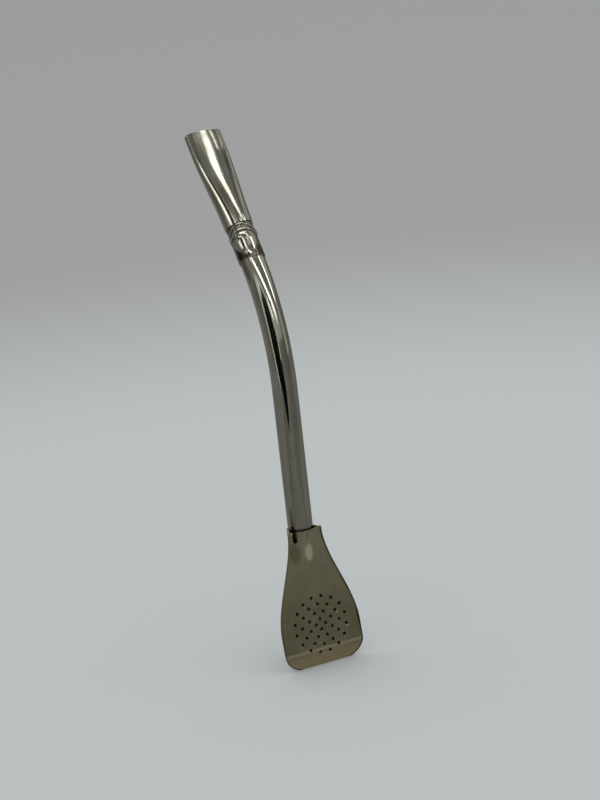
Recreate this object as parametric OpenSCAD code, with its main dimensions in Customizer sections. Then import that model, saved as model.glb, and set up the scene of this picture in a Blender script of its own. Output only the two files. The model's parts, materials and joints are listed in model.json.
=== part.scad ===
// Bombilla: a metal straw for mate, with a bent stem, a flat flared mouthpiece
// and a perforated spade filter that pushes on the stem's lower end.
// The origin is on the stem's axis, at the shoulder above the filter. +Z runs up the straight stem,
// -Y is the front of the filter, and the stem bends back towards +Y.

/* [Stem] */
// Outside diameter of the stem tube
tube_d = 8; // [7:0.1:10]
// Wall of the stem tube
tube_wall = 0.6; // [0.4:0.05:0.8]
// Straight length between the filter and the bend
straight_len = 44; // [20:1:80]
// Radius of the bend, at the tube's centre
bend_r = 66; // [40:1:120]
// Angle of the bend
bend_angle = 36.5; // [15:0.5:60]

/* [Push fit] */
// Length of the tail that goes into the filter
tail_len = 9; // [6:0.5:12]
// Depth turned off the tail's radius
tail_step = 0.1; // [0.05:0.05:0.2]
// Radial clearance between the tail and the filter's neck
fit_gap = 0.05; // [0.02:0.01:0.1]
// Gap between the stem's shoulder and the filter's rim
rim_drop = 0.8; // [0.3:0.1:3]
// Room below the tail in the neck
tail_room = 0.6; // [0.3:0.1:2]

/* [Collar] */
// Height of the collar's lower edge above the bend
collar_rise = 0.6; // [0.5:0.1:3]
// Length of the collar that shows below the mouthpiece
collar_len = 11.9; // [11:0.1:14]
// Wall of the collar
collar_wall = 0.27; // [0.2:0.01:0.5]
// Solder gap between pieces that are soldered together
solder_gap = 0.03; // [0.02:0.01:0.1]
// Size of the solder fillet under the collar
fillet = 0.45; // [0.2:0.05:0.8]

/* [Ornament] */
// Angle that the ornament is turned to the left of the front
ornament_turn = 25; // [0:1:45]
// Width of each wire
wire_w = 0.7; // [0.4:0.05:1]
// Height of each wire above the collar
wire_h = 0.34; // [0.2:0.02:0.6]
// Rise of the upper wire's arches above its mean line
arch_rise = 1.4; // [0.6:0.1:1.6]
// Gap below the mouthpiece's edge, and between the two wires at the sides
wire_gap = 0.1; // [0.05:0.05:0.3]
// Gap between the two wires at the crests of their arches
crest_gap = 1.3; // [0.2:0.1:1.6]
// Gap between the lower wire's crests and the shields
shield_gap = 0.7; // [0.3:0.1:1.5]
// Half width of each shield
shield_half_w = 3.8; // [2.5:0.1:3.9]
// Height of a shield's ridge above the collar
shield_h = 0.5; // [0.4:0.05:0.9]
// Sideways offset of a shield's two round faces, which makes its ridge
keel = 0.4; // [0.2:0.05:0.5]
// Radius of a shield's upper edge
shield_top_r = 4.8; // [4.2:0.1:8]
// Height of a shield's tip above the collar's lower edge
tip_rise = 0.2; // [0.1:0.1:2]

/* [Mouthpiece] */
// Length of the mouthpiece
mouth_len = 34.6; // [30:0.1:50]
// Width of the mouth
mouth_w = 12.3; // [10:0.1:16]
// Thickness of the mouth
mouth_t = 4.6; // [3.5:0.1:7]
// Length over which the sleeve is flattened
mouth_flare = 28; // [20:0.5:29]
// Wall of the mouthpiece
mouth_wall = 0.5; // [0.4:0.05:0.7]
// Depth that the stem reaches into the mouthpiece
socket_depth = 4.3; // [3:0.1:8]
// Depth that the socket is bored into the mouthpiece's wall
socket_cut = 0.18; // [0.1:0.02:0.25]
// Rounding of the mouth's lip
lip_round = 0.2; // [0.1:0.05:0.3]

/* [Filter] */
// Room between the neck's round sleeve and each edge of its rim
neck_side_room = 1.2; // [0.8:0.1:2.5]
// Distance of the neck's seam in front of the stem's axis
neck_seam = 2.7; // [1.5:0.1:3.2]
// Width of the blade
blade_w = 27.2; // [24:0.1:36]
// Length of the filter from rim to foot
blade_len = 43.5; // [42:0.5:60]
// Thickness of the blade
blade_t = 4.7; // [4:0.1:8]
// Angle of the blade, which puts its foot forward of the stem
blade_lean = 9; // [0:0.5:15]
// Length of the flare from the rim to the full width
flare_len = 32; // [26:0.5:36]
// Thickness of the sheet
sheet = 0.45; // [0.35:0.05:0.7]
// Length of the blend from the neck to the leaning blade
kink_len = 6.5; // [4:0.5:12]
// Length over which the back drops from the neck to the blade
back_len = 14; // [10:0.5:22]
// Length over which the neck's bulge runs out into the flat front
bulge_len = 15; // [10:0.5:20]
// Depth of the seam behind the front face
seam_depth = 0.5; // [0.5:0.05:1.5]
// Radius of the foot's corners
corner_r = 6; // [3:0.1:9]
// Height of the crease above the foot
crease_h = 5; // [3:0.1:6]
// How far the foot turns back below the crease
crease_turn = 1.8; // [0:0.1:3]
// Width of the solder bead along the seam
bead_w = 0.9; // [0.5:0.1:1.2]
// Height of the solder bead along the seam
bead_h = 0.2; // [0.15:0.01:0.5]

/* [Spring cuts] */
// Width of the open slit in the neck
slit_w = 1.5; // [0.8:0.1:1.6]
// Length of the open slit
slit_len = 3.6; // [2:0.1:6]
// Distance of the open slit to the left of the stem's axis
slit_offset = 3.85; // [3.6:0.05:4.2]
// Width of the fine saw cut at the middle of the neck
saw_w = 0.2; // [0.15:0.01:0.4]
// Length of the fine saw cut
saw_len = 2.6; // [1:0.1:5]

/* [Filter holes] */
// Diameter of each hole
hole_d = 1.1; // [0.7:0.05:1.4]
// Number of rings of holes
ring_count = 4; // [1:1:4]
// Radius of the outer ring
outer_ring_r = 8.95; // [8.2:0.05:10]
// Distance from one ring to the next
ring_pitch = 2.43; // [1.8:0.01:2.6]
// Holes in the outer ring
outer_ring_holes = 16; // [14:1:20]
// Holes fewer in each next ring
ring_step = 4; // [2:1:4]
// Height of the pattern's centre above the foot
pattern_rise = 13.2; // [11:0.1:18]
// How much lower the holes in the back are
back_drop = 1; // [0:0.1:1.2]

/* [Hidden] */
$fn = 96;

past = 1; // how far a cut runs past the face that it opens
tube_r = tube_d / 2;
bore_r = tube_r - tube_wall;
tail_r = tube_r - tail_step;
bend_thinning = 0.02; // how much the bend draws in the tube
bend_lap = 0.1; // length over which a straight stretch takes in the end of the next one

// Heights of the collar and mouthpiece are measured along the upper stretch, from the end of the bend.
collar_bore_r = tube_r + solder_gap;
collar_r = collar_bore_r + collar_wall;
skin_r = collar_r + solder_gap;
mouth_edge = collar_rise + collar_len;
socket_end = mouth_edge + socket_depth;
stem_end = socket_end - solder_gap;
mouth_base_d = 2 * (skin_r + mouth_wall - socket_cut);
mouth_end = mouth_edge + mouth_len;
upper_crest = mouth_edge - wire_gap - wire_w / 2;
lower_crest = upper_crest - wire_w - crest_gap;
lower_arch_rise = arch_rise - (crest_gap - wire_gap) / 2;
shield_top = lower_crest - wire_w / 2 - shield_gap;
shield_mid = shield_top - shield_top_r + sqrt(pow(shield_top_r, 2) - pow(shield_half_w, 2));
shield_point = shield_mid - collar_rise - tip_rise;
ogive_offset = (pow(shield_point, 2) - pow(shield_half_w, 2)) / (2 * shield_half_w);
ogive_r = ogive_offset + shield_half_w;
keel_r = norm([collar_r + shield_h, keel]);

// Depths of the filter are measured down from its rim.
bore_skim = 0.15; // sheet that the neck's bore takes off inside
neck_bore_r = tail_r + fit_gap;
neck_r = neck_bore_r + sheet;
neck_wall = sheet + bore_skim;
neck_half_w = neck_r + neck_side_room;
neck_len = tail_len - rim_drop + tail_room;
lean_slope = tan(blade_lean);
crease_d = blade_len - crease_h;
corner_d = blade_len - corner_r;
foot_z = -rim_drop - blade_len;
foot_lip = 2 * sheet;
film = 0.05; // half the hollow left between the shells at the foot
pattern_d = blade_len - pattern_rise;
front_squareness = 0.5; // 1 is an ellipse, and less is squarer
back_squareness = 0.9;

section_steps = 24;
blade_steps = 18;
corner_steps = 5;
mouth_steps = 16;
mouth_points = 48;
wire_steps = 80;

function mix(a, b, share) = a + (b - a) * share;
function ease(share) = let (s = min(1, max(0, share))) s * s * (3 - 2 * s);
function power(value, exponent) = sign(value) * pow(abs(value), exponent);

// Triangles between rings of equal size, each ring counter-clockwise from above and the first ring on top.
function side_faces(rings, size, first = 0, closed = false) = [
    for (i = [0 : rings - (closed ? 1 : 2)], k = [0 : size - 1], half = [0, 1])
        let (
            next = (k + 1) % size,
            upper = first + i * size,
            lower = first + ((i + 1) % rings) * size
        )
        half == 0 ? [upper + k, upper + next, lower + next] : [upper + k, lower + next, lower + k]
];
function top_cap(size) = [for (k = [size - 1 : -1 : 0]) k];
function bottom_cap(rings, size) = [for (k = [0 : size - 1]) (rings - 1) * size + k];
function flipped(faces) = [for (f = faces) [f[2], f[1], f[0]]];
// Strip across a ring whose second half runs back along its first half.
function crescent_cap(size, first = 0) = [
    for (k = [0 : size / 2 - 2])
        let (o = first + k, i = first + size - 1 - k)
        each [[o, o + 1, i - 1], [o, i - 1, i]]
];

// Outline and profiles of the filter at a depth below its rim.
function blade_share(d) = ease((d - neck_len) / back_len);
function foot_share(d) = max(0, (d - crease_d) / crease_h);
function half_width(d) =
    let (full = mix(neck_half_w, blade_w / 2, ease(d / flare_len)))
    d <= corner_d ? full : full - corner_r + sqrt(max(0, pow(corner_r, 2) - pow(d - corner_d, 2)));
function front_y(d) =
    let (below = max(0, d - neck_len), bent = min(below, kink_len))
    -neck_r - lean_slope * (pow(bent, 2) / (2 * kink_len) + below - bent) + crease_turn * foot_share(d);
function back_y(d) =
    let (open = mix(neck_r, front_y(d) + blade_t, blade_share(d)))
    mix(open, front_y(d) + foot_lip, pow(foot_share(d), 2));
function seam_y(d) =
    let (open = mix(-neck_seam, front_y(d) + seam_depth, ease(d / bulge_len)))
    mix(open, front_y(d) + foot_lip / 2, foot_share(d));
function wall(d) = mix(neck_wall, sheet, ease((d - neck_len) / kink_len));

crease_turn_angle = asin(1 - crease_h / corner_r);
depths = concat(
    [for (i = [0 : blade_steps]) mix(0, corner_d, i / blade_steps)],
    [for (i = [0 : corner_steps])
        corner_d + corner_r * sin(mix(crease_turn_angle, 90, i / corner_steps))]
);

// Points across a shell's outer face, or inset to its inner one. side is -1 for the front, 1 for the back.
// The neck is a round sleeve with straight wings, which run from the edge to touch the sleeve.
function neck_point(d, side, inset, share) =
    let (
        r = neck_r - inset,
        edge = [half_width(d) - inset, side * seam_y(d) + solder_gap],
        low = atan2(edge[1], edge[0]),
        touch = low + acos(r / norm(edge)),
        turn = mix(low, 180 - low, share),
        reach = r / cos(max(0, touch - min(turn, 180 - turn)))
    )
    [reach * cos(turn), side * reach * sin(turn)];
function blade_point(d, side, inset, share) =
    let (
        turn = 180 * share,
        squareness = side < 0 ? front_squareness : back_squareness,
        edge = seam_y(d) + side * solder_gap,
        depth = max(film, abs((side < 0 ? front_y(d) : back_y(d)) - edge) - inset)
    )
    [(half_width(d) - inset) * power(cos(turn), squareness),
     edge + side * depth * power(sin(turn), squareness)];
function shell_curve(d, side, inset) = [
    for (i = [0 : section_steps])
        let (
            share = i / section_steps,
            p = mix(neck_point(d, side, inset, share), blade_point(d, side, inset, share), blade_share(d))
        )
        [side * p[0], p[1], -rim_drop - d]
];
function shell_ring(d, side) =
    let (inner = shell_curve(d, side, wall(d)))
    concat(shell_curve(d, side, 0), [for (i = [section_steps : -1 : 0]) inner[i]]);

module shell(side) {
    size = 2 * (section_steps + 1);
    rings = len(depths);
    polyhedron(
        points = [for (d = depths) each shell_ring(d, side)],
        faces = concat(
            side_faces(rings, size),
            flipped(crescent_cap(size)),
            crescent_cap(size, (rings - 1) * size)
        )
    );
}

module neck_bore() {
    translate([0, 0, -rim_drop - neck_len]) cylinder(r = neck_bore_r, h = neck_len + past);
}

// Rings of holes, square to the leaning blade.
module hole_pattern() {
    drill = neck_r - front_y(pattern_d);
    translate([0, front_y(pattern_d), -rim_drop - pattern_d]) rotate([90 - blade_lean, 0, 0])
        for (ring = [0 : ring_count - 1]) {
            holes = outer_ring_holes - ring * ring_step;
            half_step = ring % 2 == 0 ? 0.5 : 0;
            for (k = [0 : holes - 1])
                rotate([0, 0, 90 + (k + half_step) * 360 / holes])
                    translate([outer_ring_r - ring * ring_pitch, 0, -drill])
                        cylinder(d = hole_d, h = drill + past, $fn = 24);
        }
}

// Open slit with a round end and a fine saw cut, which leave a springy tongue in the neck's front.
module spring_cuts() {
    reach = neck_r + past;
    translate([-slit_offset, 0, -rim_drop - slit_len + slit_w / 2]) rotate([90, 0, 0]) {
        cylinder(d = slit_w, h = reach);
        translate([-slit_w / 2, 0, 0]) cube([slit_w, slit_len + past, reach]);
    }
    translate([-saw_w / 2, -reach, -rim_drop - saw_len]) cube([saw_w, reach, saw_len + past]);
}

module filter_front() {
    color("DarkKhaki") difference() {
        shell(-1);
        neck_bore();
        spring_cuts();
        hole_pattern();
    }
}

module filter_back() {
    color("Khaki") difference() {
        shell(1);
        neck_bore();
        translate([0, 0, -back_drop]) hole_pattern();
    }
}

// Solder bead along both edges of the shells, from the rim down to the foot, where it is filed flush.
seam_path = [for (d = depths) [half_width(d), seam_y(d), -rim_drop - d]];
bead_section = [[0, -0.5], [0.6, -0.4], [1, 0], [0.6, 0.4], [0, 0.5]];

function outward(i) =
    let (
        along = seam_path[min(i + 1, len(seam_path) - 1)] - seam_path[max(i - 1, 0)],
        flat = [-along[2], 0, along[0]]
    )
    flat / norm(flat);

module bead() {
    size = len(bead_section);
    rings = len(seam_path);
    polyhedron(
        points = [for (i = [0 : rings - 1], s = bead_section)
            seam_path[i] + (solder_gap + s[0] * bead_h) * outward(i) + [0, s[1] * bead_w, 0]],
        faces = concat(side_faces(rings, size), [top_cap(size), bottom_cap(rings, size)])
    );
}

module filter_seam() {
    color("DimGray") for (side = [0, 1])
        mirror([side, 0, 0]) difference() {
            bead();
            translate([0, -blade_w, foot_z - bead_w]) cube([blade_w, 2 * blade_w, bead_w]);
        }
}

module upper_stretch() {
    translate([0, bend_r * (1 - cos(bend_angle)), straight_len + bend_r * sin(bend_angle)])
        rotate([-bend_angle, 0, 0]) children();
}

// Solid rod along the stem's axis, which starts at a depth below the shoulder and runs past the top.
module stem_rod(r, drop, extra) {
    translate([0, 0, -drop]) cylinder(r = r, h = drop + straight_len + bend_lap);
    translate([0, bend_r, straight_len]) rotate([0, -90, 0]) rotate([0, 0, -90])
        rotate_extrude(angle = bend_angle) translate([bend_r, 0]) circle(r = r - bend_thinning);
    upper_stretch() translate([0, 0, -bend_lap]) cylinder(r = r, h = bend_lap + stem_end + extra);
}

module stem_tube() {
    color("Silver") difference() {
        union() {
            stem_rod(tube_r, 0, 0);
            translate([0, 0, -tail_len]) cylinder(r = tail_r, h = tail_len + bend_lap);
        }
        stem_rod(bore_r, tail_len + past, past);
    }
}

// Turns to the ornament's front, or to its back.
module ornament_side(back = false) {
    upper_stretch() rotate([0, 0, (back ? 180 : 0) - ornament_turn]) children();
}

// Bud outline of a shield, cut through the front half of the sleeve.
module bud_edge() {
    translate([ogive_offset, 0, shield_mid]) rotate([90, 0, 0]) cylinder(r = ogive_r, h = keel_r + past);
}

module bud() {
    intersection() {
        translate([0, 0, shield_top - shield_top_r]) rotate([90, 0, 0])
            cylinder(r = shield_top_r, h = keel_r + past);
        bud_edge();
        mirror([1, 0, 0]) bud_edge();
    }
}

module collar() {
    color("Gray") upper_stretch() difference() {
        translate([0, 0, collar_rise]) cylinder(r = collar_r, h = stem_end - collar_rise);
        cylinder(r = collar_bore_r, h = stem_end + past);
    }
}

module shield(back) {
    ornament_side(back) difference() {
        intersection() {
            bud();
            translate([keel, 0, 0]) cylinder(r = keel_r, h = shield_top + past);
            translate([-keel, 0, 0]) cylinder(r = keel_r, h = shield_top + past);
        }
        cylinder(r = skin_r, h = shield_top + past);
    }
}

module front_shield() {
    color("LightGray") shield(false);
}

module back_shield() {
    color("LightGray") shield(true);
}

// Half-round wire round the collar, arched upwards at the ornament's front and back.
wire_section = [[0, -0.5], [0.6, -0.42], [0.95, -0.18], [0.95, 0.18], [0.6, 0.42], [0, 0.5]];

module arched_wire(crest, rise) {
    size = len(wire_section);
    upper_stretch() polyhedron(
        points = [for (i = [0 : wire_steps - 1], s = wire_section)
            let (
                turn = 360 * i / wire_steps,
                height = crest - rise * (1 - cos(2 * (turn + ornament_turn))),
                r = skin_r + s[0] * wire_h
            )
            [r * sin(turn), -r * cos(turn), height + s[1] * wire_w]],
        faces = side_faces(wire_steps, size, closed = true)
    );
}

module upper_wire() {
    color("WhiteSmoke") arched_wire(upper_crest, arch_rise);
}

module lower_wire() {
    color("WhiteSmoke") arched_wire(lower_crest, lower_arch_rise);
}

module collar_solder() {
    color("DimGray") upper_stretch() rotate_extrude() translate([collar_bore_r, collar_rise - solder_gap])
        polygon([[0, 0], [0, -fillet], [collar_wall, 0]]);
}

// Mouthpiece: stadium sections that keep flattening from the round sleeve to the mouth.
function stadium(w, t, k) =
    let (turn = 360 * (k + 0.5) / mouth_points, flat = max(0, w - t) / 2)
    [flat * sign(cos(turn)) + t / 2 * cos(turn), t / 2 * sin(turn)];
function mouth_ring(u, inset) =
    let (share = ease((u - mouth_edge) / mouth_flare))
    [for (k = [0 : mouth_points - 1])
        let (p = stadium(mix(mouth_base_d, mouth_w, share) - 2 * inset,
                         mix(mouth_base_d, mouth_t, share) - 2 * inset, k))
        [p[0], p[1], u]];

module mouthpiece() {
    heights = concat(
        [mouth_end],
        [for (i = [0 : mouth_steps]) mix(mouth_end - lip_round, mouth_edge, i / mouth_steps)]
    );
    rings = len(heights);
    size = mouth_points;
    inner = rings * size;
    foot = (rings - 1) * size;
    color("Silver") upper_stretch() difference() {
        polyhedron(
            points = concat(
                [for (i = [0 : rings - 1]) each mouth_ring(heights[i], i == 0 ? lip_round : 0)],
                [for (u = heights) each mouth_ring(u, mouth_wall)]
            ),
            faces = concat(
                side_faces(rings, size),
                flipped(side_faces(rings, size, inner)),
                [for (k = [0 : size - 1])
                    let (n = (k + 1) % size)
                    each [[n, k, inner + k], [n, inner + k, inner + n]]],
                [for (k = [0 : size - 1])
                    let (n = foot + (k + 1) % size, o = foot + k)
                    each [[o, n, inner + n], [o, inner + n, inner + o]]]
            )
        );
        cylinder(r = skin_r, h = socket_end);
    }
}

stem_tube();
collar();
upper_wire();
lower_wire();
front_shield();
back_shield();
collar_solder();
mouthpiece();
filter_front();
filter_back();
filter_seam();
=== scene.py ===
# %% [markdown]
# # A bombilla
# A bombilla is the metal straw that mate is drunk through: a bent tube with a flat mouthpiece at the top
# and a perforated filter at the foot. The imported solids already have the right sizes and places, in
# metres, so they are the frame of this lesson. Each one gets a smooth or softened skin and a real metal.

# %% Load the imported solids
import json
import math

import bmesh
import bpy
from mathutils import Matrix, Vector

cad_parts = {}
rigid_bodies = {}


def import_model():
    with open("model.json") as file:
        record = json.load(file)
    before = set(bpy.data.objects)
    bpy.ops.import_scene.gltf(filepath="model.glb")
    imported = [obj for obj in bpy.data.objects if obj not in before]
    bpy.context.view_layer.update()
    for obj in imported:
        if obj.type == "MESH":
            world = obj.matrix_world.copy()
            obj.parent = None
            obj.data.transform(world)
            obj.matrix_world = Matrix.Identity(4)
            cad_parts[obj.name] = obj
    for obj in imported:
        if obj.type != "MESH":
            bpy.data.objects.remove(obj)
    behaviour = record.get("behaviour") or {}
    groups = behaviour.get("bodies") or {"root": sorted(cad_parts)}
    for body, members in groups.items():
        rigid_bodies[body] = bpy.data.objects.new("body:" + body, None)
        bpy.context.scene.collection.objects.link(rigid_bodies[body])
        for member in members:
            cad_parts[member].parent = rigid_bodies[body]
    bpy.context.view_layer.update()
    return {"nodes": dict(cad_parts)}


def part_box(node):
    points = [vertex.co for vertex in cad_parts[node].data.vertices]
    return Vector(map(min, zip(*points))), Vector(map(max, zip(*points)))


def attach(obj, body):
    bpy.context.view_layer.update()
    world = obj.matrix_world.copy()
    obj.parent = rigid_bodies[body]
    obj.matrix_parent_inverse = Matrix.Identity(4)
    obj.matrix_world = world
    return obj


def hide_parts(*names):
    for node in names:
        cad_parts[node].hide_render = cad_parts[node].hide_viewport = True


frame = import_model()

print("solids:", ", ".join(sorted(frame["nodes"])))

# %% [markdown]
# ## The camera
# A bent tube gives its viewer away: the ellipses of its rims and the run of its outline fit one place
# only. The camera could be turned by eye, but here its place comes from such a fit, as an angle round the
# object, an angle above the floor, a small roll, a distance and a long lens.

# %% Camera
IMAGE_HEIGHT_PX, FOCAL_PX, SENSOR_MM = 800, 2218.2, 36
CAMERA_AZIMUTH, CAMERA_ELEVATION, CAMERA_ROLL = -24.944, 14.672, math.radians(-6.34)
CAMERA_TARGET = Vector((0, 0, 0.04))
CAMERA_ASIDE, CAMERA_RISE, CAMERA_AWAY = 0.0043, 0.0006, 0.6897


def towards(azimuth, elevation):
    """Unit vector from the object: azimuth 0 is its front, -Y, and grows to the right."""
    a, e = math.radians(azimuth), math.radians(elevation)
    return Vector((math.sin(a) * math.cos(e), -math.cos(a) * math.cos(e), math.sin(e)))


back = towards(CAMERA_AZIMUTH, CAMERA_ELEVATION)
level = Vector((-back.y, back.x, 0)).normalized()
upright = back.cross(level)
right = math.cos(CAMERA_ROLL) * level + math.sin(CAMERA_ROLL) * upright
up = math.cos(CAMERA_ROLL) * upright - math.sin(CAMERA_ROLL) * level
lens = bpy.data.cameras.new("long_lens")
lens.sensor_width = SENSOR_MM
lens.lens = FOCAL_PX * SENSOR_MM / IMAGE_HEIGHT_PX
lens.clip_start, lens.clip_end = 0.01, 30
camera = bpy.data.objects.new("camera", lens)
camera.matrix_world = Matrix((right, up, back)).transposed().to_4x4()
camera.location = CAMERA_TARGET + CAMERA_ASIDE * level + CAMERA_RISE * upright + CAMERA_AWAY * back
bpy.context.collection.objects.link(camera)
bpy.context.scene.camera = camera
bpy.context.scene.view_settings.view_transform = "Standard"
print("camera: %.1f mm lens at" % lens.lens, [round(c, 3) for c in camera.location])

# %% [markdown]
# ## Tools of the bench
# Every piece is worked in the same few ways: a ring of points is extruded, modifiers are applied at once,
# a skin gets a wall, and smooth shading stops at real edges. The merging distance is tiny, because the
# whole object is only 17 cm tall.

# %% Helpers for modelling
MM = 1000
TINY = 1e-6
RING_POINTS = 128


def start_ring(name, radius, height):
    """A ring of points round the stem's axis, in edit mode and selected."""
    bpy.ops.object.select_all(action="DESELECT")
    bpy.ops.mesh.primitive_circle_add(vertices=RING_POINTS, radius=radius, location=(0, 0, height))
    piece = bpy.context.object
    piece.name = piece.data.name = name
    bpy.ops.object.transform_apply(location=True)
    bpy.ops.object.mode_set(mode="EDIT")
    bpy.ops.mesh.select_all(action="SELECT")
    return piece


def extrude(way):
    bpy.ops.mesh.extrude_region_move(TRANSFORM_OT_translate={"value": tuple(way)})


def apply_modifier(piece, kind, **settings):
    modifier = piece.modifiers.new(kind.lower(), kind)
    for name, value in settings.items():
        setattr(modifier, name, value)
    bpy.ops.object.modifier_apply(modifier=modifier.name)


def give_wall(piece, thickness):
    """Turns the normals outward, then thickens the skin inward."""
    bpy.ops.mesh.select_all(action="SELECT")
    bpy.ops.mesh.remove_doubles(threshold=TINY)
    bpy.ops.mesh.normals_make_consistent(inside=False)
    bpy.ops.object.mode_set(mode="OBJECT")
    apply_modifier(piece, "SOLIDIFY", thickness=thickness, offset=-1, use_even_offset=True)


def smooth(piece, angle=35):
    """Shades smoothly, except over edges that are sharper than the angle in degrees."""
    bpy.ops.object.shade_smooth_by_angle(angle=math.radians(angle))
    print(piece.name, "has", len(piece.data.polygons), "faces")


print("a ring has", RING_POINTS, "points, and points within", TINY * MM, "mm are merged")

# %% [markdown]
# ## The stem tube
# The real stem is drawn tube, 8 mm across, bent cold over a former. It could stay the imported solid, but
# polished metal shows every facet as a broken reflection. So one ring of points is extruded up the tail
# and the straight stretch, spun round the bend's centre, and extruded along the upper stretch.

# %% Stem tube
TUBE_R, TUBE_WALL, TAIL_R, TAIL_LEN = 0.004, 0.0006, 0.0039, 0.009
STRAIGHT_LEN, BEND_R, BEND = 0.044, 0.066, math.radians(36.5)
STEM_END = 0.01677
STRAIGHT_STEPS, BEND_STEPS = 8, 60
upper_way = Vector((0, math.sin(BEND), math.cos(BEND)))

tube = start_ring("bent_tube", TAIL_R, -TAIL_LEN)
extrude((0, 0, TAIL_LEN))
extrude((0, 0, 0))  # a step of no height, which becomes the shoulder when it is widened
bpy.ops.transform.resize(value=(TUBE_R / TAIL_R, TUBE_R / TAIL_R, 1), center_override=(0, 0, 0))
for step in range(STRAIGHT_STEPS):
    extrude((0, 0, STRAIGHT_LEN / STRAIGHT_STEPS))
bpy.ops.mesh.spin(steps=BEND_STEPS, angle=BEND, center=(0, BEND_R, STRAIGHT_LEN), axis=(1, 0, 0))
extrude(STEM_END * upper_way)
give_wall(tube, TUBE_WALL)
smooth(tube)

# %% [markdown]
# ## The collar
# A thin sleeve of sheet is slipped over the tube below the mouthpiece and soldered on. It could be cut
# from the tube, but it is a piece of its own. So it is made upright, as a ring that is extruded once, and
# then tilted onto the upper stretch, with its place kept in its mesh.

# %% Collar
COLLAR_RISE, COLLAR_R, COLLAR_WALL = 0.0006, 0.0043, 0.00027
upper_start = Vector((0, BEND_R * (1 - math.cos(BEND)), STRAIGHT_LEN + BEND_R * math.sin(BEND)))


def onto_upper_stretch(piece):
    piece.rotation_euler = (-BEND, 0, 0)
    piece.location = upper_start
    bpy.ops.object.transform_apply(location=True, rotation=True)


collar = start_ring("collar_sleeve", COLLAR_R, COLLAR_RISE)
extrude((0, 0, STEM_END - COLLAR_RISE))
give_wall(collar, COLLAR_WALL)
onto_upper_stretch(collar)
smooth(collar)

# %% [markdown]
# ## The mouthpiece
# A silversmith makes it from a round sleeve that is squeezed flat towards the lips. A box could be
# bevelled into that form, but the smooth change from round to flat matters most. So every section has two
# round sides and two flats between them, and an easing curve leads from the round section to the flat
# one.

# %% Sections of the mouthpiece
MOUTH_EDGE, MOUTH_LEN, MOUTH_FLARE = 0.0125, 0.0346, 0.028
BASE_D, MOUTH_W, MOUTH_T = 0.0093, 0.0123, 0.0046


def mouth_section(height):
    """Half the flat and the radius of the round sides at a height."""
    share = min(1, (height - MOUTH_EDGE) / MOUTH_FLARE)
    share = share * share * (3 - 2 * share)
    width = BASE_D + (MOUTH_W - BASE_D) * share
    thickness = BASE_D + (MOUTH_T - BASE_D) * share
    return (width - thickness) / 2, thickness / 2


lip_flat, lip_r = mouth_section(MOUTH_EDGE + MOUTH_LEN)
print("at the lips: half flat %.2f mm, round sides %.2f mm" % (MM * lip_flat, MM * lip_r))

# %% [markdown]
# A ring is now extruded in small steps. At each step its left and right halves, which are selected by
# their place, shrink to the new thickness and move apart to the new width. The two points in the middle
# belong to neither half, so they only move in.

# %% Mouthpiece
MOUTH_STEPS = 44


def pick(test):
    """In edit mode, selects the points whose place passes the test."""
    mesh = bmesh.from_edit_mesh(bpy.context.object.data)
    for point in mesh.verts:
        point.select = test(point.co)
    mesh.select_flush_mode()
    bmesh.update_edit_mesh(bpy.context.object.data)


mouthpiece = start_ring("flared_mouthpiece", BASE_D / 2, MOUTH_EDGE)
height = MOUTH_EDGE
for step in range(MOUTH_STEPS):
    old_flat, old_r = mouth_section(height)
    height += MOUTH_LEN / MOUTH_STEPS
    flat, r = mouth_section(height)
    extrude((0, 0, MOUTH_LEN / MOUTH_STEPS))
    for side in (-1, 1):
        pick(lambda co: abs(co.z - height) < TINY and side * co.x > TINY)
        middle = (side * old_flat, 0, height)
        bpy.ops.transform.resize(value=(r / old_r, r / old_r, 1), center_override=middle)
        bpy.ops.transform.translate(value=(side * (flat - old_flat), 0, 0))
    pick(lambda co: abs(co.z - height) < TINY and abs(co.x) <= TINY)
    bpy.ops.transform.resize(value=(1, r / old_r, 1), center_override=(0, 0, height))
    pick(lambda co: abs(co.z - height) < TINY)
print("mouthpiece:", MOUTH_STEPS, "steps up to", round(MM * height, 1), "mm")

# %% [markdown]
# A hammer leaves no flat quite flat, and a mirror on a true plane would flash all at once. So each flat
# becomes a wide arc that runs into the round sides without a corner, as in an oval drawn from four
# centres. In front, the lip swells by a few hundredths of a millimetre, where it was turned out.

# %% Crown of the flats
CROWN, CROWN_FULL = math.radians(8.9), 0.001
LIP, LIP_AT, LIP_R = 0.00004, (-0.0008, 0.0474), 0.0024


def crowned(x, y, z):
    """Where a point of the plain section lies on the crowned one."""
    flat, r = mouth_section(z)
    lean = CROWN * min(1, flat / CROWN_FULL)  # of the wide arc, where the round side begins
    if abs(x) < flat:
        wide_r = r + flat / math.sin(lean)
        across = x * (1 + r * math.sin(lean) / flat)
        out = math.sqrt(wide_r**2 - across**2) - (wide_r - r) * math.cos(lean)
    else:
        angle = math.atan2(abs(x) - flat, abs(y))
        angle = lean + angle * (1 - 2 * lean / math.pi)
        across, out = math.copysign(flat + r * math.sin(angle), x), r * math.cos(angle)
    if y < 0:
        apart = math.hypot(x - LIP_AT[0], z - LIP_AT[1]) / LIP_R
        out += LIP * math.exp(-(apart**2)) * min(1, out / r)
    return across, math.copysign(out, y)


lip_crown = crowned(0, lip_r, MOUTH_EDGE + MOUTH_LEN)[1] - lip_r
print("crown at the lips: %.2f mm" % (MM * lip_crown))

# %% [markdown]
# A flat has points only in its middle and at its two ends, too few for an arc. So the level edges that
# meet in the middle are selected and divided, and then every point moves to its place on the oval. The
# skin gets its wall last, because the wall should follow the crown.

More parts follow.
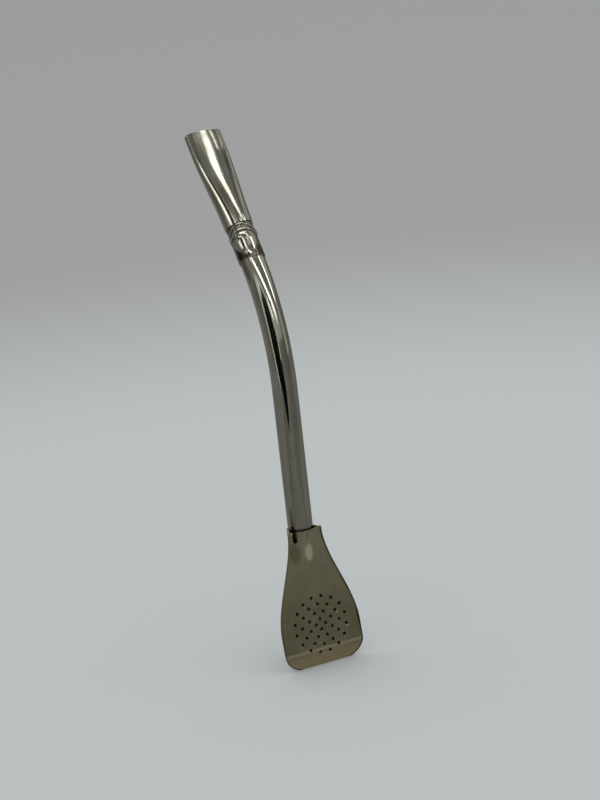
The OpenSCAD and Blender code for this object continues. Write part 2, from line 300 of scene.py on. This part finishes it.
# %% Crowned wall of the mouthpiece
FLAT_CUTS, MOUTH_WALL = 7, 0.0005
mesh = bmesh.from_edit_mesh(mouthpiece.data)
for edge in mesh.edges:
    ends = [point.co for point in edge.verts]
    edge.select = abs(ends[0].z - ends[1].z) < TINY and min(abs(end.x) for end in ends) < TINY
bmesh.update_edit_mesh(mouthpiece.data)
bpy.ops.mesh.subdivide(number_cuts=FLAT_CUTS)
mesh = bmesh.from_edit_mesh(mouthpiece.data)
for point in mesh.verts:
    point.co.xy = crowned(*point.co)
bmesh.update_edit_mesh(mouthpiece.data)
give_wall(mouthpiece, MOUTH_WALL)
print("mouthpiece: wall of", len(mouthpiece.data.vertices), "points")

# %% [markdown]
# The socket is bored to fit the collar. The lip is rounded for the mouth, and the lower edge is broken
# with a file so that it doesn't cut. Solidify adds the inner points after the outer ones, so their
# numbers tell the two apart.

# %% Socket, lip and edge of the mouthpiece
SOCKET_R, SOCKET_END, EDGE_ROUND = 0.00433, 0.0168, 0.00018
outer_points = len(mouthpiece.data.vertices) // 2
for point in mouthpiece.data.vertices[outer_points:]:
    if point.co.z < SOCKET_END:
        point.co.xy *= SOCKET_R / point.co.xy.length
bpy.ops.object.mode_set(mode="EDIT")
bpy.ops.mesh.select_all(action="DESELECT")
mesh = bmesh.from_edit_mesh(mouthpiece.data)
for edge in mesh.edges:
    heights = [point.co.z for point in edge.verts]
    level_edge = abs(heights[0] - heights[1]) < TINY
    at_end = min(heights) < MOUTH_EDGE + TINY or max(heights) > MOUTH_EDGE + MOUTH_LEN - TINY
    edge.select = level_edge and at_end and all(point.index < outer_points for point in edge.verts)
bmesh.update_edit_mesh(mouthpiece.data)
bpy.ops.mesh.bevel(offset=EDGE_ROUND, segments=3, affect="EDGES")
bpy.ops.object.mode_set(mode="OBJECT")
onto_upper_stretch(mouthpiece)
smooth(mouthpiece, angle=50)

# %% [markdown]
# ## Copies of the solids
# The other pieces start as copies of their solids. They could be drawn again, but their cuts and holes
# are already right. A copy comes as loose triangles, so they are merged, and everything that ties it to
# its solid is taken off.

# %% Helper for copies
def merged_copy(node, name):
    bpy.ops.object.select_all(action="DESELECT")
    solid = frame["nodes"][node]
    solid.select_set(True)
    bpy.context.view_layer.objects.active = solid
    bpy.ops.object.duplicate()
    piece = bpy.context.object
    bpy.ops.object.parent_clear(type="CLEAR_KEEP_TRANSFORM")
    for key in list(piece.keys()):
        del piece[key]
    piece.name = piece.data.name = name
    bpy.ops.object.mode_set(mode="EDIT")
    bpy.ops.mesh.select_all(action="SELECT")
    bpy.ops.mesh.remove_doubles(threshold=TINY)
    bpy.ops.object.mode_set(mode="OBJECT")
    print(name, "has", len(piece.data.vertices), "points after merging")
    return piece


# %% [markdown]
# ## The ornament
# Two half-round wires arch over a bud-shaped shield, front and back, all soldered on the collar. Years of
# polishing have softened every edge, and soft edges catch the light as thin white lines. A bevel would
# need clean edges, and these curved cuts have none. So each copy is remeshed in very small cubes and
# smoothed. Remesh takes no cubes as small as that, so the copy is worked at a thousand times its size.

# %% Wires and shields
def softened(node, name, cube_mm, passes):
    piece = merged_copy(node, name)
    for factor in (MM, 1 / MM):
        bpy.ops.object.mode_set(mode="EDIT")
        bpy.ops.mesh.select_all(action="SELECT")
        bpy.ops.transform.resize(value=(factor, factor, factor), center_override=(0, 0, 0))
        bpy.ops.object.mode_set(mode="OBJECT")
        if factor == MM:
            apply_modifier(piece, "REMESH", mode="VOXEL", voxel_size=cube_mm)
            apply_modifier(piece, "SMOOTH", factor=0.5, iterations=passes)
    smooth(piece, angle=80)
    return piece


upper_wire = softened("upper_wire", "upper_arched_wire", cube_mm=0.045, passes=3)
lower_wire = softened("lower_wire", "lower_arched_wire", cube_mm=0.045, passes=3)
front_shield = softened("front_shield", "front_bud_shield", cube_mm=0.05, passes=4)
back_shield = softened("back_shield", "back_bud_shield", cube_mm=0.05, passes=4)

# %% [markdown]
# A shield is punched from the back, so it swells from a thin edge like a cushion. Its points are lowered
# near the bud's outline, which is made of three arcs: the distance to the nearest arc tells how much.

# %% Swelling of the shields
SKIN_R, ORNAMENT_TURN = 0.00433, math.radians(25)
SHIELD_TOP, SHIELD_TOP_R, SHIELD_HALF_W, SHIELD_TIP = 0.009, 0.0048, 0.0038, 0.0008
SWELL, THIN_EDGE = 0.002, 0.03
shield_mid = SHIELD_TOP - SHIELD_TOP_R + math.sqrt(SHIELD_TOP_R**2 - SHIELD_HALF_W**2)
ogive_offset = ((shield_mid - SHIELD_TIP) ** 2 - SHIELD_HALF_W**2) / (2 * SHIELD_HALF_W)
sideways = Vector((math.cos(ORNAMENT_TURN), -math.sin(ORNAMENT_TURN) * math.cos(BEND),
                   math.sin(ORNAMENT_TURN) * math.sin(BEND)))


def swell(piece):
    for point in piece.data.vertices:
        up_stem = (point.co - upper_start).dot(upper_way)
        axis_point = upper_start + up_stem * upper_way
        out = point.co - axis_point
        aside = abs(out.dot(sideways))
        from_top = SHIELD_TOP_R - math.hypot(aside, up_stem - SHIELD_TOP + SHIELD_TOP_R)
        from_side = ogive_offset + SHIELD_HALF_W - math.hypot(aside + ogive_offset, up_stem - shield_mid)
        share = min(1, max(THIN_EDGE, min(from_top, from_side) / SWELL))
        radius = SKIN_R + (out.length - SKIN_R) * math.sqrt(1 - (1 - share) ** 2)
        point.co = axis_point + out * radius / out.length
    print(piece.name, "swells over", SWELL * MM, "mm from its edge")


swell(front_shield)
swell(back_shield)

# %% [markdown]
# ## Solder and filter
# The solder under the collar, the two pressed filter shells and the solder along their edges already have
# their true form. They need only smooth shading that stops at real edges, such as the rims of the holes.
# Weighted normals keep the flat blade calm between its many holes.

# %% Smooth copies
collar_solder = merged_copy("collar_solder", "collar_solder_fillet")
smooth(collar_solder)
filter_front = merged_copy("filter_front", "filter_front_shell")
smooth(filter_front)
apply_modifier(filter_front, "WEIGHTED_NORMAL", keep_sharp=True)
filter_back = merged_copy("filter_back", "filter_back_shell")
smooth(filter_back)
apply_modifier(filter_back, "WEIGHTED_NORMAL", keep_sharp=True)
filter_seam = merged_copy("filter_seam", "filter_edge_solder")
smooth(filter_seam, angle=50)

# %% [markdown]
# ## A straight measure along the bent stem
# Polishing lines run along the tube and round its bend. A pattern in plain coordinates would cut across
# the bend, so each point of the stem also gets the place that it had before the tube was bent.

# %% Places before bending
def unbent(p):
    turn = math.atan2(p.z - STRAIGHT_LEN, BEND_R - p.y)
    if turn <= 0:
        return p.copy()
    if turn < BEND:
        from_centre = math.hypot(p.z - STRAIGHT_LEN, BEND_R - p.y)
        return Vector((p.x, BEND_R - from_centre, STRAIGHT_LEN + BEND_R * turn))
    local = p - upper_start
    across = Vector((0, math.cos(BEND), -math.sin(BEND)))
    return Vector((p.x, local.dot(across), STRAIGHT_LEN + BEND_R * BEND + local.dot(upper_way)))


for piece in (tube, collar, mouthpiece, upper_wire, lower_wire, front_shield, back_shield):
    places = piece.data.attributes.new("unbent", "FLOAT_VECTOR", "POINT")
    places.data.foreach_set("vector", [c for point in piece.data.vertices for c in unbent(point.co)])
print("unbent length to the lips: %.1f mm" % (MM * (STRAIGHT_LEN + BEND_R * BEND + MOUTH_EDGE + MOUTH_LEN)))

# %% [markdown]
# ## Metals
# All pieces but the solder are nickel silver, an alloy of copper, nickel and zinc with a warm grey colour.
# Its finish makes the difference: mirror polish on the stem, satin on the pressed filter and brown tarnish
# on the collar. Nodes could be placed by hand in the editor, but one helper that adds a node with its
# settings and links keeps a whole metal on one page.
#
# Sockets that share a name are told apart by number. On Map Range, 1 to 4 are From Min, From Max, To Min
# and To Max. On Mix, 0 is the factor, 2 and 3 are the two numbers, and 6 and 7 are the two colours.

# %% Helpers for nodes
def srgb(code):
    """Linear colour of a hex code."""
    parts = [int(code[i : i + 2], 16) / 255 for i in (1, 3, 5)]
    return (*[p / 12.92 if p <= 0.04045 else ((p + 0.055) / 1.055) ** 2.4 for p in parts], 1)


def add(tree, kind, values=None, links=None, **settings):
    """Adds a node, with its settings, the values of its sockets and the links into them."""
    node = tree.nodes.new(kind)
    for name, value in settings.items():
        setattr(node, name, value)
    for socket, value in (values or {}).items():
        node.inputs[socket].default_value = value
    for socket, source in (links or {}).items():
        tree.links.new(source, node.inputs[socket])
    return node


def new_material(name):
    material = bpy.data.materials.new(name)
    material.use_nodes = True
    material.node_tree.nodes.clear()
    return material, material.node_tree


print("half of white in sRGB is %.3f in linear light" % srgb("#808080")[0])

# %% [markdown]
# Polished nickel silver reflects almost like a mirror. Under a lens it has fine lines from the polishing
# cloth, which spread a reflection a little, soft waves from the hammer, and brown clouds where it has
# begun to tarnish. The lines are about 0.05 mm apart on the real tube, and are drawn at 0.35 mm, because
# finer ones don't show.

# %% Polished nickel silver
polished, tree = new_material("polished_nickel_silver")
place = add(tree, "ShaderNodeAttribute", attribute_name="unbent").outputs["Vector"]
stretched = add(tree, "ShaderNodeMapping", {"Scale": (1, 1, 0.02)}, {"Vector": place})
lines = add(tree, "ShaderNodeTexNoise", {"Scale": MM / 0.35, "Detail": 3}, {"Vector": stretched.outputs[0]})
bands = add(tree, "ShaderNodeTexNoise", {"Scale": MM / 1.1, "Detail": 2}, {"Vector": stretched.outputs[0]})
clouds = add(tree, "ShaderNodeTexNoise", {"Scale": MM / 7, "Detail": 4}, {"Vector": place})
waves = add(tree, "ShaderNodeTexNoise", {"Scale": MM / 4, "Detail": 1}, {"Vector": place})
cloudy = add(tree, "ShaderNodeMapRange", {1: 0.48, 2: 0.72, 3: 0, 4: 0.5}, {0: clouds.outputs["Fac"]})
streak = add(tree, "ShaderNodeMapRange", {1: 0.42, 2: 0.66, 3: 0, 4: 0.65}, {0: bands.outputs["Fac"]})
silver = add(tree, "ShaderNodeMix", {6: srgb("#BBBBAD"), 7: srgb("#A0997F")}, {0: cloudy.outputs[0]},
             data_type="RGBA")
print(polished.name, "has", len(tree.nodes), "nodes for its patterns")

# %% [markdown]
# Stains, worn places, painted shade and painted highlights are all soft spots: full in the middle, and fading
# out at the edge of an ellipsoid.
# They could be painted on a picture, but a spot made of nodes stays sharp at any size. One helper makes a
# spot, and one lays colours over each other, each by its own amount.

# %% Helpers for stains and painted light
SPOT_CORE = 0.45


def spot(tree, place, centre_mm, radii_mm, strength):
    """A soft spot round a point, from its full core to the edge of its ellipsoid."""
    moved = add(tree, "ShaderNodeVectorMath", {1: [c / MM for c in centre_mm]}, {0: place},
                operation="SUBTRACT")
    scaled = add(tree, "ShaderNodeVectorMath", {1: [r / MM for r in radii_mm]}, {0: moved.outputs[0]},
                 operation="DIVIDE")
    away = add(tree, "ShaderNodeVectorMath", links={0: scaled.outputs[0]}, operation="LENGTH")
    fade = add(tree, "ShaderNodeMapRange", {1: 1, 2: SPOT_CORE, 3: 0, 4: strength},
               {0: away.outputs["Value"]}, interpolation_type="SMOOTHSTEP")
    return fade.outputs[0]


def stains_and_painted_light(tree, colour, layers):
    """Lays colours over a colour, one after the other, each by its own amount."""
    for code, amount in layers:
        mixed = add(tree, "ShaderNodeMix", {7: srgb(code)}, {0: amount, 6: colour}, data_type="RGBA")
        colour = mixed.outputs[2]
    return colour


print("a spot is full up to", SPOT_CORE, "of its radius")

# %% [markdown]
# Dirt stays where no cloth reaches, and shade falls into the same nooks. Ambient occlusion finds the nooks
# beside the wires and above the filter and darkens them, as dirt and painted shade together. Spots add the
# dull patch below the collar, and at the foot of the stem the brown run above the filter's slit, a black spot
# at the run's lower end, and a black ring of painted shade inside the filter's rim. A spot that is wide and
# low makes the ring.

# %% Tarnish, dirt and painted shade on the polished stem
nook = add(tree, "ShaderNodeAmbientOcclusion", {"Distance": 0.5 / MM}, samples=8)
# Painted shade: ambient occlusion darkens the nooks, as dirt and shade together
nook_grime_and_shade = add(tree, "ShaderNodeMapRange", {1: 0.7, 2: 0.3, 3: 0, 4: 0.95}, {0: nook.outputs["AO"]})
dull_patch = spot(tree, place, (-3.4, -1.6, 84), (2, 3, 6), 0.75)
colour = stains_and_painted_light(tree, silver.outputs[2], (
    ("#8D8977", streak.outputs[0]),
    ("#6F6655", dull_patch),
    ("#5B4A33", spot(tree, place, (-3.5, -1.8, 1), (0.6, 1, 9), 0.65)),
    # Painted shade: a black ring on the stem at and just inside the filter's rim
    ("#241D15", spot(tree, place, (0, 0, -0.6), (9, 9, 0.9), 0.9)),
    ("#14100B", spot(tree, place, (-3.5, -1.8, 0.3), (0.9, 1.2, 0.9), 0.9)),
    ("#241D15", nook_grime_and_shade.outputs[0]),
))
shine = add(tree, "ShaderNodeMapRange", {1: 0.3, 2: 0.7, 3: 0.06, 4: 0.14}, {0: lines.outputs["Fac"]})
rough = add(tree, "ShaderNodeMath", {1: 0.25}, {0: dull_patch, 2: shine.outputs[0]}, operation="MULTIPLY_ADD")
hammered = add(tree, "ShaderNodeBump", {"Strength": 0.3, "Distance": 0.03 / MM},
               {"Height": waves.outputs["Fac"]})
relief = add(tree, "ShaderNodeBump", {"Strength": 0.1, "Distance": 0.02 / MM},
             {"Height": lines.outputs["Fac"], "Normal": hammered.outputs[0]})
shader = add(tree, "ShaderNodeBsdfPrincipled", {"Metallic": 1},
             {"Base Color": colour, "Roughness": rough.outputs[0], "Normal": relief.outputs[0]})
add(tree, "ShaderNodeOutputMaterial", links={"Surface": shader.outputs[0]})
print(polished.name, "has", len(tree.nodes), "nodes")

# %% [markdown]
# The filter was pressed from sheet and never polished, so it is satin: a soft grey without clear
# reflections, between olive and brown in clouds of about 6 mm, with fine grinding marks down its length.
# The marks are drawn 0.3 mm apart, because finer ones don't show.

# %% Satin nickel silver
satin, tree = new_material("satin_nickel_silver")
place = add(tree, "ShaderNodeTexCoord").outputs["Object"]
height = add(tree, "ShaderNodeSeparateXYZ", links={0: place}).outputs["Z"]
ground = add(tree, "ShaderNodeMapping", {"Scale": (1, 1, 0.06)}, {"Vector": place})
marks = add(tree, "ShaderNodeTexNoise", {"Scale": MM / 0.3, "Detail": 3}, {"Vector": ground.outputs[0]})
mottle = add(tree, "ShaderNodeTexNoise", {"Scale": MM / 6, "Detail": 5}, {"Vector": place})
mottled = add(tree, "ShaderNodeMapRange", {1: 0.3, 2: 0.7, 3: 0, 4: 1}, {0: mottle.outputs["Fac"]})
olive = add(tree, "ShaderNodeMix", {6: srgb("#8B8D72"), 7: srgb("#877C62")}, {0: mottled.outputs[0]},
            data_type="RGBA")
print(satin.name, "has", len(tree.nodes), "nodes for its patterns")

# %% [markdown]
# Use shows on the filter, and some light is painted on it too. The facet below the crease is painted a
# darker brown as painted shade, the shell is painted paler up towards the neck, and the crease itself is a
# thin pale line. On the neck a painted highlight makes a pale oval beside a brown stain, and the right
# edge of the blade has a dark one.

# %% Stains and painted light on the satin
CREASE_Z = -0.0388
# Painted shade: the facet below the crease is painted a darker brown
below_crease_shade = add(tree, "ShaderNodeMapRange", {1: CREASE_Z + 0.0006, 2: CREASE_Z - 0.001, 3: 0, 4: 0.6},
            {0: height}, interpolation_type="SMOOTHSTEP")
# The shell is painted paler from the blade up towards the neck
paler_towards_neck = add(tree, "ShaderNodeMapRange", {1: -0.024, 2: -0.006, 3: 0, 4: 0.55}, {0: height})
above = add(tree, "ShaderNodeMath", {1: CREASE_Z}, {0: height}, operation="SUBTRACT")
apart = add(tree, "ShaderNodeMath", links={0: above.outputs[0]}, operation="ABSOLUTE")
crease = add(tree, "ShaderNodeMapRange", {1: 0.0007, 2: 0.0001, 3: 0, 4: 0.75}, {0: apart.outputs[0]})
colour = stains_and_painted_light(tree, olive.outputs[2], (
    ("#8F8061", below_crease_shade.outputs[0]),
    ("#B4AE92", paler_towards_neck.outputs[0]),
    ("#C6BC9E", crease.outputs[0]),
    # Painted highlight: a pale oval on the front of the neck
    ("#E3DCC4", spot(tree, place, (0, -4.4, -7.9), (1.8, 2.2, 3.6), 0.8)),
    ("#4A3D2B", spot(tree, place, (13.5, -6.5, -31.5), (0.9, 3, 5), 0.8)),
    ("#6E6341", spot(tree, place, (-4.6, -3.4, -7.5), (2.6, 2.6, 4.5), 0.6)),
))
dull = add(tree, "ShaderNodeMapRange", {1: 0.3, 2: 0.7, 3: 0.34, 4: 0.46}, {0: marks.outputs["Fac"]})
relief = add(tree, "ShaderNodeBump", {"Strength": 0.2, "Distance": 0.02 / MM},
             {"Height": marks.outputs["Fac"]})
shader = add(tree, "ShaderNodeBsdfPrincipled", {"Metallic": 1},
             {"Base Color": colour, "Roughness": dull.outputs[0], "Normal": relief.outputs[0]})
add(tree, "ShaderNodeOutputMaterial", links={"Surface": shader.outputs[0]})
print(satin.name, "has", len(tree.nodes), "nodes")

# %% [markdown]
# The collar lies behind the wires and shields, where a cloth hardly reaches, so it has gone olive brown
# in spots of about 2 mm. Its nooks are painted black, as tarnish and painted shade together, and its right
# side is painted black as shade. The brown is still metal, only darker and a little rougher, but the
# black is no metal, so it doesn't reflect like metal at all.

# %% Tarnished nickel silver
tarnished, tree = new_material("tarnished_nickel_silver")
place = add(tree, "ShaderNodeAttribute", attribute_name="unbent").outputs["Vector"]
spots = add(tree, "ShaderNodeTexNoise", {"Scale": MM / 2, "Detail": 4}, {"Vector": place})
patch = add(tree, "ShaderNodeMapRange", {1: 0.4, 2: 0.65, 3: 0, 4: 1}, {0: spots.outputs["Fac"]})
base = add(tree, "ShaderNodeMix", {6: srgb("#757164"), 7: srgb("#99937F")}, {0: patch.outputs[0]},
           data_type="RGBA")
nook = add(tree, "ShaderNodeAmbientOcclusion", {"Distance": 1.1 / MM}, samples=8)
# Painted shade: ambient occlusion blackens the nooks, as tarnish and shade together
nook_grime_and_shade = add(tree, "ShaderNodeMapRange", {1: 0.93, 2: 0.62, 3: 0, 4: 1}, {0: nook.outputs["AO"]})
# Painted shade: a black strip down the collar's right side
right_side_shade = spot(tree, place, (3.9, -1.8, 90.2), (0.7, 1.5, 5), 1)
black_tarnish_and_shade = add(tree, "ShaderNodeMath", links={0: nook_grime_and_shade.outputs[0], 1: right_side_shade}, operation="MAXIMUM")
colour = stains_and_painted_light(tree, base.outputs[2], (
    ("#2E261D", spot(tree, place, (-3.4, -2.6, 88.4), (3, 4, 4), 0.9)),
    ("#3A3127", spot(tree, place, (1.7, -3.5, 88), (2.6, 2.2, 3), 0.85)),
    ("#17120D", black_tarnish_and_shade.outputs[0]),
))
# Where the painted black lies, the surface is no metal, so it doesn't reflect
bare = add(tree, "ShaderNodeMath", {0: 1}, {1: black_tarnish_and_shade.outputs[0]}, operation="SUBTRACT")
dull = add(tree, "ShaderNodeMapRange", {1: 0.4, 2: 0.65, 3: 0.3, 4: 0.18}, {0: spots.outputs["Fac"]})
shader = add(tree, "ShaderNodeBsdfPrincipled",
             links={"Base Color": colour, "Roughness": dull.outputs[0], "Metallic": bare.outputs[0]})
add(tree, "ShaderNodeOutputMaterial", links={"Surface": shader.outputs[0]})
print(tarnished.name, "has", len(tree.nodes), "nodes")

# %% [markdown]
# Solder is softer and greyer than the alloy, and it sets with a dull, slightly rippled skin, so its
# highlights are broad and broken. The ripples are about half a millimetre long.

# %% Solder
solder, tree = new_material("silver_solder")
place = add(tree, "ShaderNodeTexCoord").outputs["Object"]
ripple = add(tree, "ShaderNodeTexNoise", {"Scale": MM / 0.5, "Detail": 2}, {"Vector": place})
grey = add(tree, "ShaderNodeMix", {6: srgb("#6B6759"), 7: srgb("#97917E")}, {0: ripple.outputs["Fac"]},
           data_type="RGBA")
relief = add(tree, "ShaderNodeBump", {"Strength": 0.4, "Distance": 0.05 / MM},
             {"Height": ripple.outputs["Fac"]})
shader = add(tree, "ShaderNodeBsdfPrincipled", {"Metallic": 1, "Roughness": 0.45},
             {"Base Color": grey.outputs[2], "Normal": relief.outputs[0]})
add(tree, "ShaderNodeOutputMaterial", links={"Surface": shader.outputs[0]})
print(solder.name, "has", len(tree.nodes), "nodes")

# %% [markdown]
# ## Putting the pieces on
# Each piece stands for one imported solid, takes its metal, and rides on the body that carries the solid:
# the stem slides up out of the filter, so nothing of the stem may ride on the filter.

# %% Metals and bodies
for piece, node, body, metal, slot in (
    (tube, "stem_tube", "stem", polished, "polished_nickel_silver"),
    (mouthpiece, "mouthpiece", "stem", polished, "polished_nickel_silver"),
    (upper_wire, "upper_wire", "stem", polished, "polished_nickel_silver"),
    (lower_wire, "lower_wire", "stem", polished, "polished_nickel_silver"),
    (front_shield, "front_shield", "stem", polished, "polished_nickel_silver"),
    (back_shield, "back_shield", "stem", polished, "polished_nickel_silver"),
    (collar, "collar", "stem", tarnished, "tarnished_nickel_silver"),
    (collar_solder, "collar_solder", "stem", solder, "solder"),
    (filter_front, "filter_front", "filter", satin, "satin_nickel_silver"),
    (filter_back, "filter_back", "filter", satin, "satin_nickel_silver"),
    (filter_seam, "filter_seam", "filter", solder, "solder"),
):
    piece.data.materials.clear()
    piece.data.materials.append(metal)
    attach(piece, body)
    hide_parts(node)
    print(piece.name, "rides on", body)

# %% [markdown]
# ## Floor
# The object stands on a plain pale floor, a wide disc of matt paint. Paint scatters light evenly, so the
# eye sees only its colour and a soft shadow. Its colour is painted darker with distance, a painted falloff
# of light as on a floor that runs back from a window. Reflections don't see it, because the room below
# gives them their grey.

# %% Floor
FLOOR_R, FLOOR_GAP = 8, 0.00005
FLOOR_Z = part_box("filter_front")[0].z - FLOOR_GAP
bpy.ops.object.select_all(action="DESELECT")
bpy.ops.mesh.primitive_circle_add(vertices=96, radius=FLOOR_R, fill_type="NGON", location=(0, 0, FLOOR_Z))
floor = bpy.context.object
floor.name = "pale_floor"
floor.visible_glossy = False
matt, tree = new_material("matt_pale_paint")
place = add(tree, "ShaderNodeTexCoord")
away = add(tree, "ShaderNodeVectorMath", links={0: place.outputs["Object"]}, operation="LENGTH")
# Painted falloff of light: the paint darkens with distance from the middle
painted_falloff = add(tree, "ShaderNodeMapRange", {1: 0.24, 2: 0.74, 3: 0, 4: 1}, {0: away.outputs["Value"]},
          interpolation_type="SMOOTHSTEP")
floor_paint_and_falloff = add(tree, "ShaderNodeMix", {6: srgb("#BAC0C0"), 7: srgb("#9D9F9E")}, {0: painted_falloff.outputs[0]},
             data_type="RGBA")
shader = add(tree, "ShaderNodeBsdfPrincipled", {"Roughness": 0.9, "Specular IOR Level": 0.1},
             {"Base Color": floor_paint_and_falloff.outputs[2]})
add(tree, "ShaderNodeOutputMaterial", links={"Surface": shader.outputs[0]})
floor.data.materials.append(matt)
print("floor at %.1f mm" % (MM * FLOOR_Z))

# %% [markdown]
# ## Room
# Polished metal is only as good as what it mirrors, so the room counts as much as the metal. A picture of
# a room could be wrapped round the scene, but a few nodes do, because Light Path tells which kind of ray
# looks. Matt surfaces get plain white light, the camera sees an even grey, and reflections see a dim room
# that is paler low down, overhead and behind the object.

# %% Room
DAYLIGHT, BACKDROP = 1, 0.34
ROOM_LAYERS = ((0.18, 0.5), (0.27, 0.22), (0.42, 0.215), (0.48, 0.172), (0.76, 0.172), (0.91, 0.23))
room = bpy.data.worlds.new("studio_room")
room.use_nodes = True
bpy.context.scene.world = room
tree = room.node_tree
tree.nodes.clear()
look = add(tree, "ShaderNodeTexCoord")
axes = add(tree, "ShaderNodeSeparateXYZ", links={0: look.outputs["Generated"]})
ray = add(tree, "ShaderNodeLightPath")
behind = add(tree, "ShaderNodeMapRange", {1: 0.6, 2: 0.95, 3: 0, 4: 0.05}, {0: axes.outputs["Y"]})
height = add(tree, "ShaderNodeMapRange", {1: -1, 2: 1}, {0: axes.outputs["Z"]})
layers = add(tree, "ShaderNodeValToRGB", links={0: height.outputs[0]})
for share, brightness in ROOM_LAYERS:
    stop = layers.color_ramp.elements.new(share)
    stop.color = (brightness, brightness, brightness, 1)
for end in (0, -1):
    layers.color_ramp.elements.remove(layers.color_ramp.elements[end])
mirrored = add(tree, "ShaderNodeMath", links={0: layers.outputs[0], 1: behind.outputs[0]})
lit = add(tree, "ShaderNodeMix", {2: DAYLIGHT}, {0: ray.outputs["Is Glossy Ray"], 3: mirrored.outputs[0]})
seen = add(tree, "ShaderNodeMix", {3: BACKDROP}, {0: ray.outputs["Is Camera Ray"], 2: lit.outputs[0]})
light = add(tree, "ShaderNodeBackground", {"Color": (1, 1, 1, 1)}, {"Strength": seen.outputs[0]})
add(tree, "ShaderNodeOutputWorld", links={"Surface": light.outputs[0]})
print("room has", len(tree.nodes), "nodes")

# %% [markdown]
# ## Lamps and flags
# Bright panels make the white lines on polished metal, and dark ones, which a photographer calls flags,
# make the black ones. Lamps would light the floor as well, so these are glowing faces that only
# reflections see. Each is placed by the direction in which the metal mirrors it, and its size is given in
# degrees. Most are far away, so that the whole object sees them in the same direction.

# %% Helper for panels
AIM = Vector((0, 0.01, 0.07))
SQUARE, ROUND = 4, 48
FAR, BEFORE_FAR, MID, NEAR = 2.5, 2.45, 2.4, 0.1384


def panel(name, azimuth, elevation, wide, tall, strength, tilt=0, corners=SQUARE, away=FAR):
    """A flat panel that faces the object, square or round before it is stretched to its size."""
    square = corners == SQUARE
    bpy.ops.object.select_all(action="DESELECT")
    bpy.ops.mesh.primitive_circle_add(vertices=corners, radius=math.sqrt(2) if square else 1,
                                      fill_type="NGON", rotation=(0, 0, math.pi / 4 if square else 0))
    piece = bpy.context.object
    piece.name = name
    bpy.ops.object.transform_apply(rotation=True)
    facing = towards(azimuth, elevation)
    turn = facing.to_track_quat("Z", "Y").to_matrix().to_4x4() @ Matrix.Rotation(math.radians(tilt), 4, "Z")
    size = [away * math.tan(math.radians(angle / 2)) for angle in (wide, tall)]
    piece.matrix_world = Matrix.Translation(AIM + away * facing) @ turn @ Matrix.Diagonal((*size, 1, 1))
    glow, nodes = new_material(name + "_glow")
    shine = add(nodes, "ShaderNodeEmission", {"Color": (1, 1, 1, 1), "Strength": strength})
    add(nodes, "ShaderNodeOutputMaterial", links={"Surface": shine.outputs[0]})
    piece.data.materials.append(glow)
    piece.visible_camera = False
    piece.visible_shadow = False
    piece.visible_diffuse = False
    print(name, "at azimuth", azimuth, "and elevation", elevation)


print("panels stand up to", FAR, "m away")

# %% [markdown]
# The mouthpiece leans back, so its front mirrors what is high up: the top of a window, lamps overhead,
# and two thin ones for the lip. The ceiling behind the object shows where a curve turns away from the
# eye.

# %% Panels high up
panel("ceiling", 180, 66, wide=50, tall=36, strength=6)
panel("window_top", 46, 63.2, wide=8, tall=13, strength=3, tilt=-28)
panel("lip_line", 17, 59.9, wide=12, tall=0.9, strength=5, tilt=-10)
panel("lip_lamp", 54.5, 51.9, wide=4, tall=2.4, strength=4)
panel("overhead", 45, 81, wide=14, tall=10, strength=4)

# %% [markdown]
# A long lamp below the ceiling draws the diagonal streak down the mouthpiece. Small lamps on the left
# pick out the shield's keel and edge, and windows light both flanks. Dark bars end a line where the metal
# stays dark.

# %% Windows, lamps and dark bars
panel("shield_lamp", -90, 44, wide=26, tall=5, strength=2.5, tilt=29)
panel("keel_lamp", -59, 47.7, wide=9, tall=2.2, strength=4, tilt=29)
panel("dark_frame", 70, 51, wide=11, tall=2, strength=0.02, tilt=41, away=BEFORE_FAR)
panel("dark_corner", 79, 43.5, wide=4, tall=8, strength=0.02, away=BEFORE_FAR)
panel("window_side", 63, 35, wide=8, tall=26, strength=4)
panel("ceiling_lamp", -7, 46.2, wide=45, tall=4, strength=8, tilt=-28)
panel("left_window", -92, 26.5, wide=17, tall=4, strength=2.6, tilt=45)
panel("dark_sash", -78.5, 38.5, wide=20, tall=4, strength=0.02, tilt=45)

# %% [markdown]
# Walls and a shelf are broad and dim, and give the stem its greys. Two tilted lamps stand before the
# shelf and draw the two white lines along the bend.

# %% Walls, shelf and lamps of the stem
panel("left_wall", -108, 18, wide=20, tall=10, strength=0.42)
panel("right_wall", 95, 31, wide=34, tall=28, strength=0.5)
panel("right_glow", 62, 10, wide=24, tall=20, strength=0.45)
panel("pale_shelf", 12, 22.5, wide=60, tall=19, strength=0.45)
panel("lamp_left", -13, 30, wide=4, tall=13, strength=2.8, tilt=38, away=BEFORE_FAR)
panel("lamp_right", 21, 29, wide=9, tall=13, strength=3.2, tilt=30, away=BEFORE_FAR)

# %% [markdown]
# The bend draws a dark flag in a bright doorway out into a black lens with a pale rim. Its lower tip is
# sharp, and a far panel would leave it blunt. So one dark card stands close to the stem, where its
# reflection changes with height and ends in a point.

# %% Doorway and dark flags
panel("bright_doorway", -48, 13.5, wide=67, tall=53, strength=0.8, corners=ROUND)
panel("dark_flag", -45, 10.5, wide=51, tall=49, strength=0, corners=ROUND, away=MID)
panel("dark_foot", -33, -5.4, wide=31, tall=16.4, strength=0, away=MID)
panel("dark_card", -29.6, -17.1, wide=36, tall=20.5, strength=0, tilt=-20, corners=ROUND, away=NEAR)
panel("dark_post", -27, -18, wide=3, tall=8, strength=0.08, away=MID)
panel("door_lamp", -62, 29, wide=4, tall=6, strength=2, away=BEFORE_FAR)
